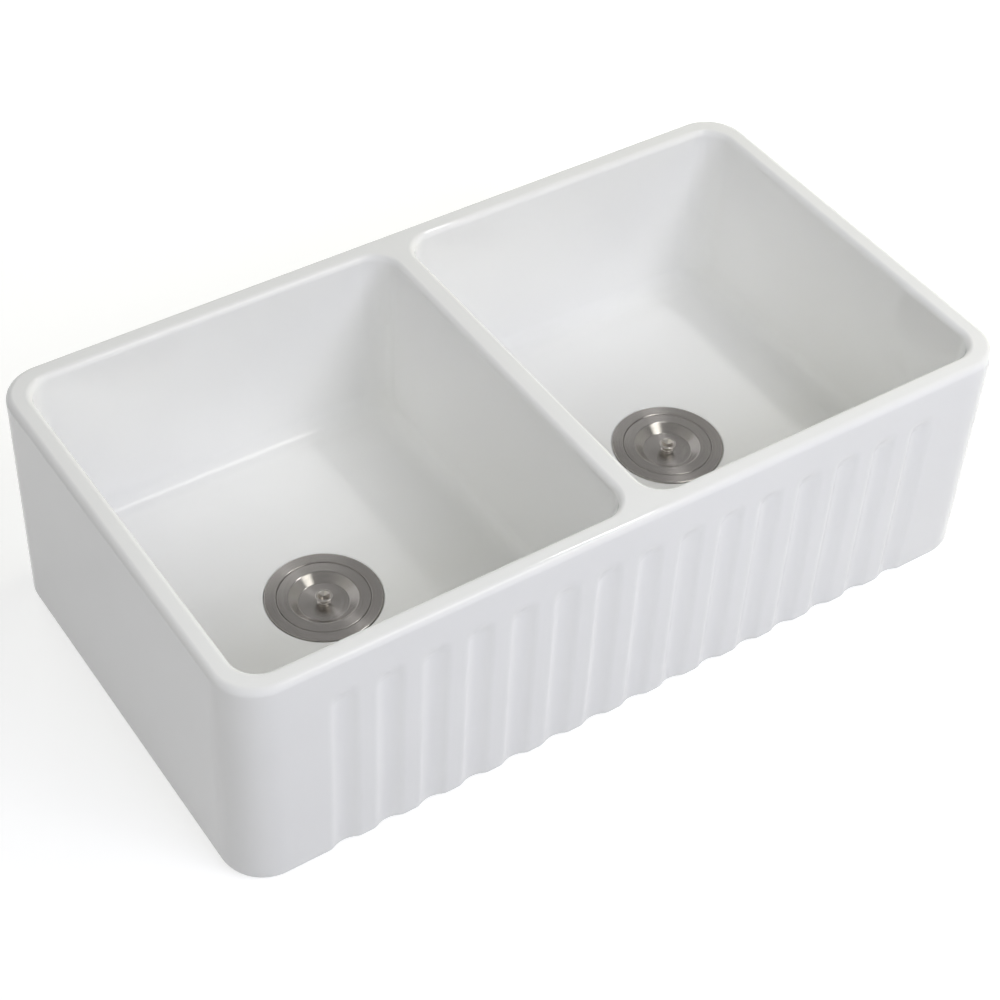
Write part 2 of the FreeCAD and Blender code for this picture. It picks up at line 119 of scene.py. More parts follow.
class SINK_PG_casting(bpy.types.PropertyGroup):
    """Sizes of the fireclay casting"""

    length: length_property("Length", "Overall length from side to side", 0.8382)
    depth: length_property("Depth", "Overall depth from apron to back", 0.4572)
    height: length_property("Height", "Height of the apron", 0.254)
    corner_radius: length_property("Corner Radius", "Radius of the four outer upright corners", 0.043)
    rim_outer_radius: length_property("Outer Rim Radius", "Rounding of the rim's outer edge", 0.007)
    rim_inner_radius: length_property("Inner Rim Radius", "Rounding of the rim's edge into each bowl", 0.0065)
    foot_radius: length_property("Foot Radius", "Rounding of the bottom outer edge", 0.009)
    side_wall: length_property("Side Wall", "Thickness of the side walls", 0.0225)
    face_wall: length_property("Front and Back Wall", "Thickness of the front and back walls", 0.0218)
    divider: length_property("Divider", "Thickness of the wall between the bowls", 0.0254)
    bowl_depth: length_property("Bowl Depth", "Depth of each bowl at its drain", 0.200)
    bowl_corner_radius: length_property("Bowl Corner Radius", "Radius of the bowls' upright corners", 0.026)
    floor_radius: length_property("Floor Radius", "Rounding between bowl walls and floor", 0.020)
    floor_thickness: length_property("Floor Thickness", "Thickness of the bowl floor at its drain", 0.022)
    floor_fall: FloatProperty(
        name="Floor Fall",
        description="Slope of the floor to the drain",
        default=math.radians(1.0),
        subtype="ANGLE",
    )
    fall_margin: length_property("Fall Margin", "Level strip between the slope and the rounded floor edge", 0.002)
    foot_width: length_property("Foot Width", "Width of the foot ring", 0.023)
    foot_web: length_property("Foot Web", "Width of the foot under the divider", 0.032)
    pocket_radius: length_property("Pocket Radius", "Corner radius of the hollows under the bowls", 0.022)
    pocket_edge: length_property("Pocket Edge", "Rounding at the top of the hollows under the bowls", 0.0025)
    hole_radius: length_property("Drain Hole Radius", "Radius of the drain hole", 0.0475)
    rebate_radius: length_property("Rebate Radius", "Radius of the rebate the flange sits in", 0.05775)
    rebate_depth: length_property("Rebate Depth", "Depth of the rebate the flange sits in", 0.003)
    rebate_edge: length_property("Rebate Edge", "Softness of the glazed edge round the rebate", 0.0012)


class SINK_PG_flutes(bpy.types.PropertyGroup):
    """Sizes of the flutes in the apron"""

    count: IntProperty(name="Count", description="Number of flutes", default=15, min=1)
    pitch: length_property("Pitch", "Distance from flute to flute", 0.0452)
    width: length_property("Width", "Width of a flute before its edges are softened", 0.027)
    depth: length_property("Depth", "Depth of a flute", 0.004)
    edge_radius: length_property("Edge Radius", "Softening of a flute's edges", 0.010)
    top_gap: length_property("Top Gap", "Plain band between the rim and the flutes", 0.0355)
    fade: length_property("Fade", "Length over which a flute reaches its full depth", 0.022)


class SINK_PG_drain(bpy.types.PropertyGroup):
    """Sizes of the drain strainers"""

    flange_radius: length_property("Flange Radius", "Radius of the flange in the floor", 0.05715)
    lid_radius: length_property("Lid Radius", "Radius of the lid", 0.045)
    dish_radius: length_property("Dish Radius", "Radius of the lid's dish at its lip", 0.03375)
    dish_flat_radius: length_property("Dish Flat Radius", "Radius of the flat bottom of the dish", 0.0248)
    dish_depth: length_property("Dish Depth", "Depth of the dish", 0.0072)
    knob_radius: length_property("Knob Radius", "Radius of the ring on top of the knob", 0.0085)
    turn_steps: IntProperty(name="Turn Steps", description="Steps round each turned piece", default=144, min=24)


class SINK_PG_finish(bpy.types.PropertyGroup):
    """Colours of the finishes"""

    glaze: colour_property("Glaze", "White fireclay glaze", (0.93, 0.93, 0.925))
    steel: colour_property("Steel", "Brushed stainless steel", (0.50, 0.475, 0.45))
    rubber: colour_property("Rubber", "Black rubber", (0.035, 0.035, 0.036))
    fibre: colour_property("Fibre", "Pressed fibre washer", (0.36, 0.26, 0.16))
    brass: colour_property("Brass", "Cast brass", (0.62, 0.45, 0.20))
    chrome: colour_property("Chrome", "Chromed tube", (0.72, 0.72, 0.73))


class SINK_PG_studio(bpy.types.PropertyGroup):
    """Stage, lamps and camera"""

    floor_size: length_property("Floor Size", "Width of the floor", 12.0)
    floor_colour: colour_property("Floor Colour", "Pale floor", (0.62, 0.62, 0.62))
    floor_lift: FloatProperty(
        name="Floor Lift",
        description="White added near the sink to the floor as camera and gloss see it",
        default=0.6,
        min=0.0,
    )
    sky: FloatProperty(name="Sky", description="Strength of the even light all round", default=0.05, min=0.0)
    ceiling: FloatProperty(
        name="Ceiling", description="How bright gloss shows the room overhead", default=0.34, min=0.0
    )
    lamps: FloatProperty(name="Lamps", description="Factor on the power of every lamp", default=1.0, min=0.0)
    lamp_distance: length_property("Lamp Distance", "Distance of the lamps from the sink", 2.6)
    azimuth: FloatProperty(
        name="Azimuth",
        description="Camera's turn round the sink",
        default=math.radians(-35.9669),
        subtype="ANGLE",
    )
    elevation: FloatProperty(
        name="Elevation",
        description="Camera's height above the horizon",
        default=math.radians(44.5804),
        subtype="ANGLE",
    )
    roll: FloatProperty(
        name="Roll",
        description="Camera's tilt about its own axis",
        default=math.radians(3.2854),
        subtype="ANGLE",
    )
    distance: length_property("Distance", "Camera's distance from the middle of the sink", 2.1816)
    focal: FloatProperty(name="Focal Length", description="In picture widths", default=2.2522, min=0.1)
    aim_right: FloatProperty(
        name="Aim Right", description="Sink's middle right of the picture's, in widths", default=0.00539
    )
    aim_down: FloatProperty(
        name="Aim Down", description="Sink's middle below the picture's, in widths", default=-0.0356
    )


# ---------------------------------------------------------------- mesh helpers


def strip_quads(rows, columns, round_columns):
    """Quads between neighbouring points of a rows x columns grid, closed round its columns if asked."""
    r = np.arange(rows - 1)[:, None]
    c = np.arange(columns if round_columns else columns - 1)[None, :]
    n = (c + 1) % columns
    return np.stack(
        [r * columns + c, r * columns + n, (r + 1) * columns + n, (r + 1) * columns + c], axis=-1
    ).reshape(-1, 4)


def make_piece(name, grids, material, body, replaced):
    """Mesh object from grids.

    Each grid is its points (rows x columns x 3), whether it closes round, and its uv (rows x columns x 2) or None.
    """
    points = []
    quads = []
    uvs = []
    start = 0
    for grid, round_columns, uv in grids:
        rows, columns = grid.shape[:2]
        faces = strip_quads(rows, columns, round_columns)
        if uv is None:
            uv = np.zeros((rows, columns, 2))
        corner_uv = uv.reshape(-1, 2)[faces]
        if round_columns:
            wraps = np.abs(corner_uv[:, 1, 0] - corner_uv[:, 0, 0]) > 0.5
            corner_uv[wraps, 1, 0] += 1.0
            corner_uv[wraps, 2, 0] += 1.0
        points.append(grid.reshape(-1, 3))
        quads.append(faces + start)
        uvs.append(corner_uv.reshape(-1, 2))
        start += rows * columns
    points = np.concatenate(points)
    quads = np.concatenate(quads)
    mesh = bpy.data.meshes.new(name)
    mesh.from_pydata(points.tolist(), [], quads.tolist())
    layer = mesh.uv_layers.new(name="turned")
    layer.data.foreach_set("uv", np.concatenate(uvs).astype(np.float32).ravel())
    return finish_piece(name, mesh, material, body, replaced, SHARP_TURNED)


def finish_piece(name, mesh, material, body, replaced, sharp):
    """Welds a mesh, turns its faces outwards, smooths it up to the sharp angle and sets it on its body."""
    shell = bmesh.new()
    shell.from_mesh(mesh)
    bmesh.ops.remove_doubles(shell, verts=shell.verts, dist=WELD)
    bmesh.ops.recalc_face_normals(shell, faces=shell.faces)
    shell.to_mesh(mesh)
    shell.free()
    mesh.polygons.foreach_set("use_smooth", np.ones(len(mesh.polygons), dtype=bool))
    mesh.set_sharp_from_angle(angle=math.radians(sharp))
    piece = bpy.data.objects.new(name, mesh)
    bpy.context.scene.collection.objects.link(piece)
    mesh.materials.append(material)
    even = piece.modifiers.new("Even normals", "WEIGHTED_NORMAL")
    even.mode = "FACE_AREA"
    even.keep_sharp = True
    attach(piece, body)
    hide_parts(replaced)
    return piece


def smooth_copy(node, name, material, body):
    """Welded and smoothed copy of a CAD node, standing for it."""
    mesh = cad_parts[node].data.copy()
    mesh.materials.clear()
    return finish_piece(name, mesh, material, body, node, SHARP_COPIED)


def rounded_profile(corners, steps=7, closed=True):
    """Points of a profile whose corners (radius, z, rounding) in mm are turned into arcs, in metres.

    At each corner the arc's centre lies on the bisector, rounding / sin(half angle) away,
    and the arc runs between the two points rounding / tan(half angle) along the sides.
    """
    data = np.array([(c[0], c[1], c[2] if len(c) > 2 else 0.0) for c in corners], dtype=float)
    here = data[:, :2]
    back = np.roll(here, 1, axis=0) - here
    ahead = np.roll(here, -1, axis=0) - here
    back /= np.linalg.norm(back, axis=1, keepdims=True)
    ahead /= np.linalg.norm(ahead, axis=1, keepdims=True)
    half = np.arccos(np.clip((back * ahead).sum(1), -1, 1)) / 2
    rounding = data[:, 2]
    reach = (rounding / np.tan(half))[:, None]
    bisector = back + ahead
    bisector /= np.maximum(np.linalg.norm(bisector, axis=1, keepdims=True), 1e-9)
    centre = here + bisector * (rounding / np.sin(half))[:, None]
    first = (here + back * reach - centre)[:, None, :]
    last = (here + ahead * reach - centre)[:, None, :]
    sweep = (math.pi - 2 * half)[:, None, None]
    t = np.linspace(0, 1, steps)[None, :, None]
    spread = np.maximum(np.sin(sweep), 1e-9)
    arc = centre[:, None, :] + (np.sin((1 - t) * sweep) * first + np.sin(t * sweep) * last) / spread
    arc = np.where(rounding[:, None, None] > 0, arc, here[:, None, :])
    if not closed:
        arc[0] = here[0]
        arc[-1] = here[-1]
    path = arc.reshape(-1, 2)
    keep = np.ones(len(path), dtype=bool)
    keep[1:] = np.linalg.norm(np.diff(path, axis=0), axis=1) > 1e-5
    path = path[keep]
    if closed and np.linalg.norm(path[0] - path[-1]) > 1e-6:
        path = np.vstack([path, path[:1]])
    return path * MM


def turned(path, centre_x, steps):
    """Grid of a path (radius, z) turned about the upright axis at centre_x: x = centre + r cos a, y = r sin a.

    Its uv is (turn, length along the path).
    """
    turn = np.arange(steps) / steps
    angle = turn * 2 * math.pi
    x = centre_x + path[:, :1] * np.cos(angle)
    y = path[:, :1] * np.sin(angle)
    z = np.repeat(path[:, 1:], steps, axis=1)
    run = np.concatenate([[0], np.cumsum(np.linalg.norm(np.diff(path, axis=0), axis=1))])
    uv = np.stack(np.broadcast_arrays(turn[None, :], run[:, None]), axis=-1)
    return np.stack([x, y, z], axis=-1), True, uv.copy()


# ---------------------------------------------------------------- finishes


def node(tree, kind, **values):
    made = tree.nodes.new(kind)
    for key, value in values.items():
        setattr(made, key, value)
    return made


def blank_material(name):
    material = bpy.data.materials.new(name)
    material.use_nodes = True
    material.node_tree.nodes.clear()
    tree = material.node_tree
    shader = node(tree, "ShaderNodeBsdfPrincipled")
    output = node(tree, "ShaderNodeOutputMaterial")
    tree.links.new(shader.outputs["BSDF"], output.inputs["Surface"])
    return material, tree, shader


def noise(tree, vector, scale, detail=2.0, roughness=0.5):
    made = node(tree, "ShaderNodeTexNoise")
    made.inputs["Scale"].default_value = scale
    made.inputs["Detail"].default_value = detail
    made.inputs["Roughness"].default_value = roughness
    tree.links.new(vector, made.inputs["Vector"])
    return made.outputs["Fac"]


def ramp(tree, value, stops):
    made = node(tree, "ShaderNodeValToRGB")
    band = made.color_ramp
    while len(band.elements) < len(stops):
        band.elements.new(0.5)
    for element, (place, colour) in zip(band.elements, stops):
        element.position = place
        element.color = (*colour, 1.0)
    tree.links.new(value, made.inputs["Fac"])
    return made.outputs["Color"]


def remap(tree, value, low, high):
    made = node(tree, "ShaderNodeMapRange")
    made.inputs["To Min"].default_value = low
    made.inputs["To Max"].default_value = high
    tree.links.new(value, made.inputs["Value"])
    return made.outputs["Result"]


def bump(tree, shader, height, distance, strength=1.0, below=None):
    made = node(tree, "ShaderNodeBump")
    made.inputs["Strength"].default_value = strength
    made.inputs["Distance"].default_value = distance
    tree.links.new(height, made.inputs["Height"])
    if below is not None:
        tree.links.new(below, made.inputs["Normal"])
    tree.links.new(made.outputs["Normal"], shader.inputs["Normal"])
    return made.outputs["Normal"]


def tint(colour, factor):
    return tuple(min(1.0, channel * factor) for channel in colour)


def glaze_material(colour):
    """White fireclay glaze: glossy, very slightly uneven in colour and in the surface under the gloss."""
    material, tree, shader = blank_material("Fireclay glaze")
    place = node(tree, "ShaderNodeTexCoord").outputs["Object"]
    cloud = noise(tree, place, 5.0, 3.0)
    shade = ramp(tree, cloud, [(0.3, tint(colour, 0.985)), (0.7, tint(colour, 1.01))])
    tree.links.new(shade, shader.inputs["Base Color"])
    tree.links.new(remap(tree, noise(tree, place, 14.0, 3.0), 0.02, 0.04), shader.inputs["Roughness"])
    shader.inputs["IOR"].default_value = 1.5
    wave = bump(tree, shader, noise(tree, place, 11.0, 1.0), 0.0004, 0.3)
    bump(tree, shader, noise(tree, place, 420.0, 2.0), 0.00002, 0.2, wave)
    return material


def spun_steel_material(name, colour, anisotropy=0.9, roughness=0.21):
    """Stainless steel brushed in rings: noise stretched round the turn in the piece's own uv map."""
    material, tree, shader = blank_material(name)
    uv = node(tree, "ShaderNodeUVMap", uv_map="turned").outputs["UV"]
    stretch = node(tree, "ShaderNodeMapping")
    stretch.inputs["Scale"].default_value = (3.0, 5200.0, 1.0)
    tree.links.new(uv, stretch.inputs["Vector"])
    rings = noise(tree, stretch.outputs["Vector"], 1.0, 3.0, 0.7)
    shade = ramp(tree, rings, [(0.25, tint(colour, 0.70)), (0.75, tint(colour, 1.16))])
    tree.links.new(shade, shader.inputs["Base Color"])
    shader.inputs["Metallic"].default_value = 1.0
    tree.links.new(remap(tree, rings, roughness - 0.05, roughness + 0.09), shader.inputs["Roughness"])
    shader.inputs["Anisotropic"].default_value = anisotropy
    shader.inputs["Anisotropic Rotation"].default_value = 0.25
    tangent = node(tree, "ShaderNodeTangent", direction_type="UV_MAP", uv_map="turned")
    tree.links.new(tangent.outputs["Tangent"], shader.inputs["Tangent"])
    bump(tree, shader, rings, 0.00002, 0.35)
    return material


def brushed_material(name, colour, roughness):
    """Steel sheet with a fine even scratch, on Object coordinates."""
    material, tree, shader = blank_material(name)
    place = node(tree, "ShaderNodeTexCoord").outputs["Object"]
    stretch = node(tree, "ShaderNodeMapping")
    stretch.inputs["Scale"].default_value = (900.0, 900.0, 60.0)
    tree.links.new(place, stretch.inputs["Vector"])
    grain = noise(tree, stretch.outputs["Vector"], 1.0, 3.0, 0.6)
    shade = ramp(tree, grain, [(0.3, tint(colour, 0.85)), (0.7, tint(colour, 1.1))])
    tree.links.new(shade, shader.inputs["Base Color"])
    shader.inputs["Metallic"].default_value = 1.0
    tree.links.new(remap(tree, grain, roughness - 0.05, roughness + 0.08), shader.inputs["Roughness"])
    bump(tree, shader, grain, 0.00002, 0.3)
    return material


def cast_material(name, colour, metallic, roughness, grain_scale, grain_height):
    """Cast, moulded or pressed finish: fine grain in colour, roughness and surface."""
    material, tree, shader = blank_material(name)
    place = node(tree, "ShaderNodeTexCoord").outputs["Object"]
    grain = noise(tree, place, grain_scale, 4.0, 0.6)
    shade = ramp(tree, grain, [(0.3, tint(colour, 0.85)), (0.7, tint(colour, 1.12))])
    tree.links.new(shade, shader.inputs["Base Color"])
    shader.inputs["Metallic"].default_value = metallic
    tree.links.new(remap(tree, grain, roughness - 0.06, roughness + 0.08), shader.inputs["Roughness"])
    bump(tree, shader, grain, grain_height, 0.5)
    return material


def finish(name, maker, *values):
    """The material of that name, made once."""
    return bpy.data.materials.get(name) or maker(*values)


def steel(colour):
    return finish("Spun steel", lambda: spun_steel_material("Spun steel", colour))


def polished(colour):
    bright = tint(colour, 1.25)
    return finish("Polished steel", lambda: cast_material("Polished steel", bright, 1.0, 0.2, 300.0, 0.00001))


def rubber(colour):
    return finish("Black rubber", lambda: cast_material("Black rubber", colour, 0.0, 0.62, 700.0, 0.00005))


# ---------------------------------------------------------------- casting


def half_outline_keys(front, corner, side, back):
    """Sampling shared by every loop round one bowl, anticlockwise from the front inner corner.

    Returns the place of each sample on the core rectangle, from -1 to 1 each way, and its outward normal.
    A loop with half sizes a, b and corner radius r is then core * (a - r, b - r) + r * normal.
    """

    def straight(values, x, y, normal):
        values = np.asarray(values)
        across = values if x is None else np.full(len(values), x)
        along = values if y is None else np.full(len(values), y)
        return np.stack([across, along], 1), np.repeat([normal], len(values), axis=0)

    def bend(x, y, start):
        angle = np.radians(start) + np.linspace(0, math.pi / 2, corner + 2)[1:-1]
        core = np.repeat([[x, y]], corner, axis=0).astype(float)
        return core, np.stack([np.cos(angle), np.sin(angle)], 1)

    parts = [
        straight(front, None, -1.0, (0.0, -1.0)),
        bend(1, -1, -90),
        straight(side, 1.0, None, (1.0, 0.0)),
        bend(1, 1, 0),
        straight(back, None, 1.0, (0.0, 1.0)),
        bend(-1, 1, 90),
        straight(side[::-1], -1.0, None, (-1.0, 0.0)),
        bend(-1, -1, 180),
    ]
    core = np.concatenate([part[0] for part in parts])
    normal = np.concatenate([part[1] for part in parts])
    counts = [len(part[0]) for part in parts]
    return core, normal, counts


def flute_depth(reach, flutes):
    """Depth of a flute at a distance from its middle line, and the depth's slope.

    The groove is an arc of radius R through its depth and width, and an arc of radius e
    tangent to it and to the apron's face softens its edge.
    """
    half = flutes.width / 2
    groove = (half ** 2 + flutes.depth ** 2) / (2 * flutes.depth)
    edge = flutes.edge_radius
    end = math.sqrt((groove + edge) ** 2 - (groove - flutes.depth + edge) ** 2)
    meet = end * groove / (groove + edge)
    reach = np.abs(reach)
    inner = np.sqrt(np.maximum(groove ** 2 - reach ** 2, 1e-12))
    outer = np.sqrt(np.maximum(edge ** 2 - (end - reach) ** 2, 1e-12))
    depth = np.where(reach < meet, inner - (groove - flutes.depth), edge - outer)
    slope = np.where(reach < meet, -reach / inner, -(end - reach) / outer)
    flat = reach >= end
    return np.where(flat, 0.0, depth), np.where(flat, 0.0, slope)


def flute_field(x, z, casting, flutes):
    """Depth of the fluted apron at (x, z) and its slope along x.

    Each flute ends on top in a half round, and its depth is multiplied there by 3 r^2 - 2 r^3,
    where r runs from 0 at the flute's top to 1 at the fade length below it.
    """
    top = casting.height - flutes.top_gap - flutes.width / 2
    first = -(flutes.count - 1) / 2 * flutes.pitch
    nearest = np.clip(np.round((x - first) / flutes.pitch), 0, flutes.count - 1)
    across = x - (first + nearest * flutes.pitch)
    up = np.maximum(z - top, 0.0)
    reach = np.hypot(across, up)
    depth, slope = flute_depth(reach, flutes)
    rise = np.clip((casting.height - flutes.top_gap - z) / flutes.fade, 0.0, 1.0)
    fade = rise * rise * (3 - 2 * rise)
    return depth * fade, slope * fade * np.where(reach > 1e-9, across / np.maximum(reach, 1e-9), 0.0)


def outer_half(casting, flutes, core, normal, counts, inset, z, fluted):
    """Right half of the outer outline at height z, from front middle to back middle.

    It is the loop of half_outline_keys with the flutes taken off its front, drawn in by inset along its own normal.
    """
    a = casting.length / 2
    b = casting.depth / 2
    r = casting.corner_radius
    count = sum(counts[:5])
    core = core[:count].copy()
    side = normal[:count].copy()
    core[: counts[0], 0] = (core[: counts[0], 0] + 1) / 2
    back = slice(sum(counts[:4]), count)
    core[back, 0] = (core[back, 0] + 1) / 2
    spot = core * np.array([a - r, b - r]) + r * side
    if fluted:
        front = slice(0, counts[0])
        depth, slope = flute_field(spot[front, 0], np.full(counts[0], z), casting, flutes)
        spot[front, 1] += depth
        tilted = np.stack([slope, -np.ones_like(slope)], 1)
        side[front] = tilted / np.linalg.norm(tilted, axis=1, keepdims=True)
    spot = spot - inset * side
    spot[0, 0] = 0.0
    spot[-1, 0] = 0.0
    return np.column_stack([spot, np.full(len(spot), z)])


def closed_half(outer, core, counts):
    """The half outline closed along the middle plane, its samples matching a loop round the bowl."""
    inner_back = np.repeat(outer[-1:], counts[5], axis=0)
    t = (core[sum(counts[:6]) : sum(counts[:7]), 1:2] + 1) / 2
    middle = outer[:1] + (outer[-1:] - outer[:1]) * t
    inner_front = np.repeat(outer[:1], counts[7], axis=0)
    return np.concatenate([outer, inner_back, middle, inner_front])


def quarter(count):
    return np.linspace(0, math.pi / 2, count)


def casting_grids(casting, flutes):
    """Grids of the casting: the outside, and a tube through each half from rim to foot.

    The tube goes down the bowl's wall, over its floor, through the drain hole and out under the floor to the foot.
    Each of its rows is the loop of half_outline_keys at one inset and height.
    """
    half_pitches = flutes.count / 2
    straight_front = casting.length / 2 - casting.corner_radius
    fluted_x = np.linspace(0, half_pitches * flutes.pitch, int(half_pitches * FLUTE_STEPS) + 1)
    plain_x = np.linspace(fluted_x[-1], straight_front, PLAIN_STEPS)[1:]
    front = np.concatenate([fluted_x, plain_x]) / straight_front * 2 - 1
    side = np.sin(np.linspace(-1, 1, SIDE_STEPS) * math.pi / 2)
    back = -np.linspace(-1, 1, BACK_STEPS)
    core, normal, counts = half_outline_keys(front, CORNER_STEPS, side, back)

    bowl_a = ((casting.length - casting.divider) / 2 - casting.side_wall) / 2
    bowl_b = casting.depth / 2 - casting.face_wall
    centre = np.array([casting.divider / 2 + bowl_a, 0.0])
    floor_z = casting.height - casting.bowl_depth
    under_z = floor_z - casting.floor_thickness

    def loop(a, b, r, inset):
        return core * np.array([a - r, b - r]) + (r - inset) * normal

    def bowl_loop(inset):
        return loop(bowl_a, bowl_b, casting.bowl_corner_radius, inset)

    fall_radius = bowl_a - casting.floor_radius - casting.fall_margin
    floor_edge = floor_z + (fall_radius - casting.rebate_radius) * math.tan(casting.floor_fall)

    def level(spot, z):
        return np.column_stack([spot + centre, np.broadcast_to(z, len(spot))])

    rows = []
    rim = casting.rim_inner_radius
    for t in quarter(RIM_STEPS):
        rows.append(level(bowl_loop(-rim * (1 - math.sin(t))), casting.height - rim * (1 - math.cos(t))))
    wall = bowl_loop(0.0)
    start = casting.height - rim
    for drop in WALL_DROPS:
        rows.append(level(wall, start - drop))
    for rise in WALL_RISES:
        rows.append(level(wall, floor_edge + casting.floor_radius + rise))
    for t in quarter(FLOOR_STEPS):
        spot = bowl_loop(casting.floor_radius * (1 - math.cos(t)))
        rows.append(level(spot, floor_edge + casting.floor_radius * (1 - math.sin(t))))
    edge = bowl_loop(casting.floor_radius)
    direction = edge / np.linalg.norm(edge, axis=1, keepdims=True)
    ring = direction * fall_radius
    circle = direction * casting.rebate_radius
    lip = direction * (casting.rebate_radius + casting.rebate_edge)
    for t in FLOOR_EDGE_SHARES:
        rows.append(level(edge + (ring - edge) * t, floor_edge))
    for t in FLOOR_SHARES:
        rows.append(level(ring + (lip - ring) * t, floor_edge + (floor_z - floor_edge) * t))
    for t in quarter(EDGE_STEPS)[1:]:
        spot = circle + (lip - circle) * (1 - math.sin(t))
        rows.append(level(spot, floor_z - casting.rebate_edge * (1 - math.cos(t))))
    rebate_z = floor_z - casting.rebate_depth
    hole = direction * casting.hole_radius
    rows.append(level(circle, rebate_z))
    rows.append(level(hole, rebate_z))
    rows.append(level(hole, under_z))

    pocket_low = casting.foot_web / 2
    pocket_high = casting.length / 2 - casting.foot_width
    pocket_a = (pocket_high - pocket_low) / 2
    pocket_b = casting.depth / 2 - casting.foot_width
    shift = np.array([(pocket_high + pocket_low) / 2, 0.0]) - centre

    def pocket_loop(inset):
        return loop(pocket_a, pocket_b, casting.pocket_radius, inset) + shift

    edge_r = casting.pocket_edge
    ceiling = pocket_loop(edge_r)
    for t in UNDER_SHARES:
        rows.append(level(hole + (ceiling - hole) * t, under_z))
    for t in quarter(EDGE_STEPS)[1:]:
        rows.append(level(pocket_loop(edge_r * (1 - math.sin(t))), under_z - edge_r * (1 - math.cos(t))))
    rows.append(level(pocket_loop(0.0), FOOT_RISE))
    rows.append(level(pocket_loop(0.0), 0.0))

    outside = []
    foot = casting.foot_radius
    for t in quarter(RIM_STEPS)[::-1]:
        outside.append((foot * (1 - math.cos(t)), foot * (1 - math.sin(t)), True))
    flute_top = casting.height - flutes.top_gap
    foot_margin, top_margin, over_margin, rim_margin = SKIN_MARGINS
    for z in (foot + foot_margin, *SKIN_HEIGHTS):
        outside.append((0.0, z, True))
    for z in np.linspace(flute_top - flutes.width / 2 - top_margin, flute_top + top_margin, FLUTE_TOP_STEPS):
        outside.append((0.0, z, True))
    rim = casting.rim_outer_radius
    for z in (flute_top + over_margin, casting.height - rim - rim_margin):
        outside.append((0.0, z, False))
    for t in quarter(RIM_STEPS):
        outside.append((rim * (1 - math.cos(t)), casting.height - rim * (1 - math.sin(t)), False))
    skin = np.stack([outer_half(casting, flutes, core, normal, counts, *row) for row in outside])

    top_ring = closed_half(skin[-1], core, counts)
    foot_ring = closed_half(skin[0], core, counts)
    tube = np.stack([top_ring, *rows, foot_ring])
    mirror = np.array([-1.0, 1.0, 1.0])
    return [(tube, True, None), (tube * mirror, True, None), (skin, False, None), (skin * mirror, False, None)]


# ---------------------------------------------------------------- turned pieces


def strainer_profile(drain, floor):
    """Flange, lid ledge, cup with its basket shelf, and spigot, as (radius, z, rounding) in mm from the floor."""
    flange = drain.flange_radius / MM
    ledge = drain.lid_radius / MM + 0.5
    return [
        (flange, floor - 1.5),  # under the flange
        (flange, floor + 0.5, 1.0),  # flange's outer edge
        (ledge, floor + 0.3, 1.0),  # flange's inner edge
        (ledge, floor - 2.9),  # lid's ledge
        (41.8, floor - 2.9, 0.7),  # mouth of the cup
        (41.8, floor - 12.0),  # basket's shelf
        (39.9, floor - 12.0, 0.6),  # inside of the cup
        (38.5, floor - 58.0, 5.0),  # bottom of the cup
        (19.3, floor - 59.6, 1.6),  # outlet
        (19.3, floor - 81.6, 0.4),  # end of the spigot
        (23.7, floor - 81.6, 0.4),
        (23.7, floor - 61.2),  # root of the spigot
        (40.1, floor - 59.6, 5.0),  # outside of the cup
        (43.4, floor - 47.0),  # end of the thread
        (43.4, floor - 4.3),  # top of the thread
        (ledge + 1.4, floor - 4.3),
        (ledge + 1.4, floor - 1.5),
    ]


def lid_profile(drain, top):
    """Pressed lid with its dish, as (radius, z, rounding) in mm."""
    lip = drain.dish_radius / MM
    flat = drain.dish_flat_radius / MM
    deep = drain.dish_depth / MM
    slope = math.atan2(deep, lip - flat)
    back = LID_SHEET * math.tan(slope / 2)
    outer = drain.lid_radius / MM
    return [
        (STEM, top - deep - LID_SHEET),  # hole for the knob
        (flat + back, top - deep - LID_SHEET, 2.4),  # dish's flat, from below
        (lip + back, top - LID_SHEET, 1.2),  # dish's lip, from below
        (outer, top - LID_SHEET, 0.3),  # lid's edge
        (outer, top, 0.5),
        (lip, top, 2.4),  # dish's lip
        (flat, top - deep, 1.2),  # dish's flat
        (STEM, top - deep),
    ]


def knob_profile(drain, top):
    """Hollow spool from the rivet head under the dish to the flared ring, as (radius, z, rounding) in mm."""
    seat = top - drain.dish_depth / MM
    head = top + 2.0
    ring = drain.knob_radius / MM
    return [
        (0.0, seat - 2.2),  # rivet head under the lid
        (5.0, seat - 2.2, 0.4),
        (5.0, seat - 1.2),
        (3.0, seat - 1.2),  # rivet's shank
        (3.0, seat),
        (6.5, seat),
        (6.5, seat + 0.6, 0.3),  # base in the dish
        (4.4, seat + 1.1, 1.2),  # neck
        (4.4, head - 3.4, 1.2),
        (ring, head - 1.7, 0.8),  # flared ring
        (ring, head, 0.8),
        (ring - 2.1, head, 0.8),
        (STEM, head - 4.6, 1.0),  # funnel into the bore
        (STEM, seat + 2.0),  # bore's end
        (0.0, seat + 2.0),
    ]


def ring_from_box(node, inner, rounding):
    """Washer profile from a CAD node's box: its outer radius and levels, with the inner radius in mm."""
    low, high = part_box(node)
    outer = (high[0] - low[0]) / 2 / MM
    base, top = low[2] / MM, high[2] / MM
    return [(inner, base, rounding), (outer, base, rounding), (outer, top, rounding), (inner, top, rounding)]


class SINK_OT_casting(bpy.types.Operator):
    """Build the glazed casting with both bowls and the fluted apron"""

    bl_idname = "sink.casting"
    bl_label = "Casting"
    bl_options = {"REGISTER", "UNDO"}

    def execute(self, context):
        scene = context.scene
        glaze = finish("Fireclay glaze", glaze_material, scene.sink_finish.glaze)
        grids = casting_grids(scene.sink_casting, scene.sink_flutes)
        make_piece("sink_casting", grids, glaze, "sink", "sink_body")
        return {"FINISHED"}


